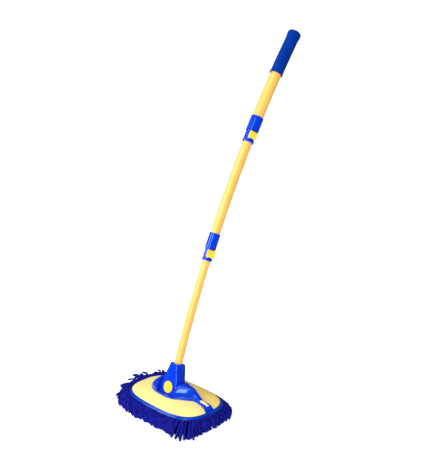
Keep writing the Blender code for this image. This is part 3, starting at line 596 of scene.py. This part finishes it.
def tube_piece(name, node, body, material):
    """A rounder copy of a CAD tube, with its ends' outer edges broken."""
    points = turned_points(node)
    foot = min(station for station, _ in points)
    head = max(station for station, _ in points)
    outer = max(radius for _, radius in points)
    inner = min(radius for _, radius in points)
    count = ceil((head - foot) / (12 * MM))
    edge = 0.2 * MM
    stations = [foot + (head - foot) * k / count for k in range(count + 1)]
    profile = [(foot, outer - edge), (foot + edge, outer)]
    profile += [(station, outer) for station in stations[1:-1]]
    profile += [(head - edge, outer), (head, outer - edge)]
    profile += [(station, inner) for station in reversed(stations)]
    piece = turned(name, profile, material, body)
    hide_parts(node)


def coil_spring(name, node, body, material):
    """A copy of a CAD spring that moves with its body."""
    piece = bpy.data.objects.new(name, nodes[node].data.copy())
    piece.data.materials.clear()
    piece.data.materials.append(material)
    bpy.context.scene.collection.objects.link(piece)
    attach(piece, body)
    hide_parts(node)
    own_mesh(piece)


def grip_relief(foot, head):
    """Low diamonds all over the grip, fading out at its two ends."""
    start, stop = foot + 9 * MM, head - 20 * MM

    def relief(station, around, radius):
        fade = min(1, (station - start) / DIAMOND_FADE, (stop - station) / DIAMOND_FADE)
        if fade <= 0 or radius < GRIP_BODY - 0.8 * MM:
            return 0
        turn = around * DIAMONDS_AROUND / 2
        climb = (station - foot) / DIAMOND_PITCH * pi
        groove = min(abs(sin(turn + climb)), abs(sin(turn - climb)))
        return -DIAMOND_DEPTH * fade * max(0, 1 - groove / DIAMOND_GROOVE)

    return relief


def grip_profile(points):
    """The grip's stations and radii: up from the blind end of its bore, round its foot and up its outside."""
    foot = min(station for station, _ in points)
    head = max(station for station, _ in points)
    bore = min(radius for station, radius in points if station < foot + 1 * MM)
    in_bore = [station for station, radius in points if abs(radius - bore) < 0.2 * MM]
    ceiling = max(station for station in in_bore if station < head - 3 * MM)
    profile = [(ceiling, 0), (ceiling, bore), (foot, bore)]
    lip = ((0, 0.8), (0.25, 0.25), (0.8, 0), (3.2, 0), (3.9, 0.25))
    profile += [(foot + ahead * MM, GRIP_LIP - inset * MM) for ahead, inset in lip]
    profile.append((foot + 5.2 * MM, GRIP_BODY + 0.1 * MM))
    start, stop = foot + 6 * MM, head - 23 * MM
    count = ceil((stop - start) / (0.55 * MM))
    profile += [(start + (stop - start) * k / count, GRIP_BODY) for k in range(count + 1)]
    swell = ((20, 1.15), (16, 0.75), (12, 0.25), (9, 0.03), (7, 0))
    dome = ((5, 0.3), (3.6, 0.9), (2.3, 2.1), (1.3, 3.8), (0.6, 6.3), (0.2, 9.6), (0.02, 13))
    profile += [(head - back * MM, GRIP_END - inset * MM) for back, inset in swell + dome]
    profile.append((head, 0))
    return foot, head, profile


def grip_piece(material):
    """The rubber grip, with its pressed pattern."""
    foot, head, profile = grip_profile(turned_points("grip_sleeve"))
    relief = grip_relief(foot, head)
    piece = turned("rubber_grip", profile, material, "upper_section", GRIP_SIDES, False, relief)
    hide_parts("grip_sleeve")


# The room


def build_stage():
    """The floor, wide enough to have no edge in the picture and left out of reflections."""
    bpy.ops.mesh.primitive_circle_add(vertices=96, radius=40, fill_type="NGON", location=(0, 0, -0.0002))
    floor = bpy.context.object
    floor.name = "floor"
    floor.data.materials.append(floor_material())
    floor.visible_glossy = False


def area_light(name, place, target, width, height, power):
    """A rectangular light at a place, turned towards a target."""
    lamp = bpy.data.lights.new(name, "AREA")
    lamp.shape = "RECTANGLE"
    lamp.size = width
    lamp.size_y = height
    lamp.energy = power
    item = bpy.data.objects.new(name, lamp)
    item.location = place
    item.rotation_mode = "QUATERNION"
    item.rotation_quaternion = (Vector(target) - Vector(place)).to_track_quat("-Z", "Y")
    bpy.context.scene.collection.objects.link(item)


def build_world():
    """A white studio: brighter where the camera sees it, and dimmer where glossy surfaces reflect it."""
    world = bpy.data.worlds.new("studio")
    bpy.context.scene.world = world
    world.use_nodes = True
    tree = world.node_tree
    background = tree.nodes["Background"]
    background.inputs["Color"].default_value = (1, 1, 1, 1)
    path = tree.nodes.new("ShaderNodeLightPath")
    strength = None
    for ray, extra in (("Is Camera Ray", 0.7), ("Is Glossy Ray", -0.4)):
        seen = tree.nodes.new("ShaderNodeMath")
        seen.operation = "MULTIPLY_ADD"
        tree.links.new(path.outputs[ray], seen.inputs[0])
        seen.inputs[1].default_value = extra
        seen.inputs[2].default_value = WORLD_STRENGTH
        if strength is not None:
            tree.links.new(strength, seen.inputs[2])
        strength = seen.outputs["Value"]
    tree.links.new(strength, background.inputs["Strength"])


def build_light():
    """The white world and three soft lights: one from the left, one above and a tall one in front."""
    build_world()
    aim = (0, 0.1, 0.3)
    area_light("key", (-1.5, -1.7, 1.7), aim, 1.2, 1.6, 34)
    area_light("top", (0.1, -0.2, 2.6), aim, 1.6, 1.6, 18)
    area_light("streak", (0.62, -1.95, 1.45), (0, 0.15, 0.5), 0.5, 2.6, 46)
    bpy.context.scene.view_settings.view_transform = "Standard"


def build_camera():
    """The photographer's place: to the right of the head's front, a little above it."""
    target = Vector((0, 0.15, 0.40))
    azimuth, elevation, distance = radians(44.09), radians(14.94), 1.8
    back = Vector((sin(azimuth) * cos(elevation), -cos(azimuth) * cos(elevation), sin(elevation)))
    data = bpy.data.cameras.new("camera")
    data.sensor_width = 36
    data.lens = 58.59
    data.shift_x = -0.00779
    data.shift_y = -0.00315
    camera = bpy.data.objects.new("camera", data)
    camera.location = target + back * distance
    camera.rotation_mode = "QUATERNION"
    camera.rotation_quaternion = (-back).to_track_quat("-Z", "Y")
    bpy.context.scene.collection.objects.link(camera)
    bpy.context.scene.camera = camera


def paint(node_names, material):
    """Gives CAD nodes a material."""
    for name in node_names:
        nodes[name].data.materials.clear()
        nodes[name].data.materials.append(material)


def soften(node_names, width):
    """Rounds the sharp edges of CAD nodes and smooths their facets."""
    for name in node_names:
        data = nodes[name].data
        for kept in ("custom_normal", "sharp_edge"):
            if kept in data.attributes:
                data.attributes.remove(data.attributes[kept])
        data.shade_smooth()
        nodes[name].modifiers.new("weld", "WELD").merge_threshold = 0.001 * MM
        rounding = nodes[name].modifiers.new("round_edges", "BEVEL")
        rounding.width = width
        rounding.segments = 2
        rounding.limit_method = "ANGLE"
        rounding.angle_limit = SHARP_EDGE
        rounding.harden_normals = True


def dress_nodes(steel):
    """Materials and rounded edges for the CAD nodes that stay visible."""
    tint = (0.5, 0.85, 1, 1)
    blue_dark, blue_light = (0.0002, 0.029, 0.50), (0.0004, 0.036, 0.58)
    blue = moulded("blue_plastic", blue_dark, blue_light, 0.13, specular=0.6, tint=tint)
    # Painted shade: the rim is the same blue plastic as the head, in a darker, duller copy for the shade on
    # its sides
    rim = moulded("rim_plastic_painted_shade", (0.0006, 0.034, 0.35), (0.001, 0.042, 0.41), 0.2, tint=tint)
    cover = cover_material()
    bright = moulded("bright_plastic", (0.78, 0.52, 0.026), (0.82, 0.57, 0.036), 0.28)
    pale = moulded("tab_plastic", (0.66, 0.60, 0.34), (0.72, 0.66, 0.40), 0.35)
    grey = moulded("grey_plastic", (0.22, 0.22, 0.24), (0.3, 0.3, 0.32), 0.5)
    big = ("rim_frame", "hinge_base", "socket_body", "top_cover", "lower_collar", "upper_collar")
    small = ("tilt_button", "lower_lever", "upper_lever", "release_tab")
    screws = [f"base_screw_{k}" for k in (1, 2, 3, 4)]
    pins = ["pivot_pin", "lower_lever_pin", "upper_lever_pin", "lower_rivet", "upper_rivet", "tube_screw"]
    paint(("rim_frame",), rim)
    paint(("hinge_base", "socket_body", "pivot_pin_plug", "lower_collar", "upper_collar"), blue)
    paint(("top_cover",), cover)
    paint(("tilt_button", "lower_lever", "upper_lever"), bright)
    paint(("release_tab",), pale)
    paint(("lower_guide", "middle_guide", "tube_end_plug"), grey)
    paint(("pad_backing",), board_material())
    paint(screws + pins, steel)
    soften(big, 0.6 * MM)
    soften(small, 0.5 * MM)


def build():
    """The whole picture: camera, light and floor, then the mop."""
    build_camera()
    build_light()
    build_stage()
    steel = steel_material()
    dress_nodes(steel)
    build_fringe()
    tube = tube_material()
    tube_piece("lower_tube_skin", "lower_tube", "socket", tube)
    tube_piece("middle_tube_skin", "middle_tube", "middle_section", tube)
    tube_piece("upper_tube_skin", "upper_tube", "upper_section", tube)
    grip_piece(rubber_material())
    coil_spring("button_coil", "button_spring", "socket", steel)
    coil_spring("tab_coil", "tab_spring", "head", steel)


build()
